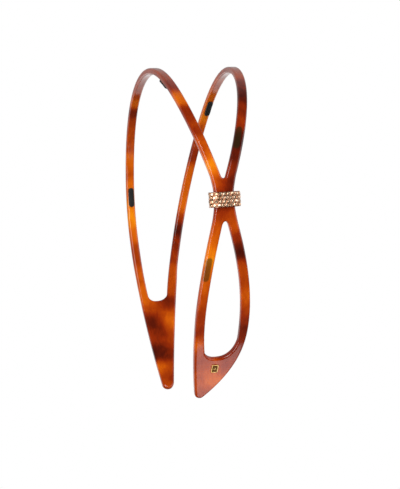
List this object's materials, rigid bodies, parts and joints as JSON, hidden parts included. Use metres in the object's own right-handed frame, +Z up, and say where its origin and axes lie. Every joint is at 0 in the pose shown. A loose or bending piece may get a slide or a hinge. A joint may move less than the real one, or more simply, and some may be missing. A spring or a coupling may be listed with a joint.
{
  "type": "headband",
  "caption": "Bent-sheet headband of two slim strands that cross through a jewelled metal ring, open into a loop below it and end in pointed plates, with grip pads inside.",
  "frame": {"origin": "centre of the crown curve at the middle of the sheet, which is about the centre of the wearer's head", "axes": "+X from the plain side to the ring side, +Y across the band from the straight strand to the bowed strand, +Z up through the crown"},
  "size_m": [0.1229, 0.044, 0.1478],
  "materials": {
    "tortoiseshell": "polished translucent acetate",
    "rose_gold": "polished plated metal",
    "crystal": "faceted and foil backed",
    "glue": "clear set glue",
    "pad_rubber": "matt",
    "badge_gold": "polished gilt"
  },
  "bodies": {
    "far_arm": {"band_far_half": "tortoiseshell", "grip_pad_far_leg": "pad_rubber", "grip_pad_far_crown": "pad_rubber"},
    "near_arm": {"band_near_half": "tortoiseshell", "ring_front_shell": "rose_gold", "ring_back_plate": "rose_gold", "ring_glue": "glue", "crystal_row_top": "crystal", "crystal_row_upper": "crystal", "crystal_row_lower": "crystal", "crystal_row_bottom": "crystal", "setting_beads": "rose_gold", "grip_pad_near_crown": "pad_rubber", "grip_pad_near_rear": "pad_rubber", "grip_pad_near_loop": "pad_rubber", "badge_plate": "badge_gold", "badge_lozenge": "badge_gold"}
  },
  "joints": [
    {"name": "crown_flex", "type": "hinge", "parent": "far_arm", "child": "near_arm", "pos_m": [0, 0.0145, 0.06035], "axis": [0, -1, 0], "range_deg": [0, 20], "stiffness_Nm_per_rad": 1.2}
  ]
}
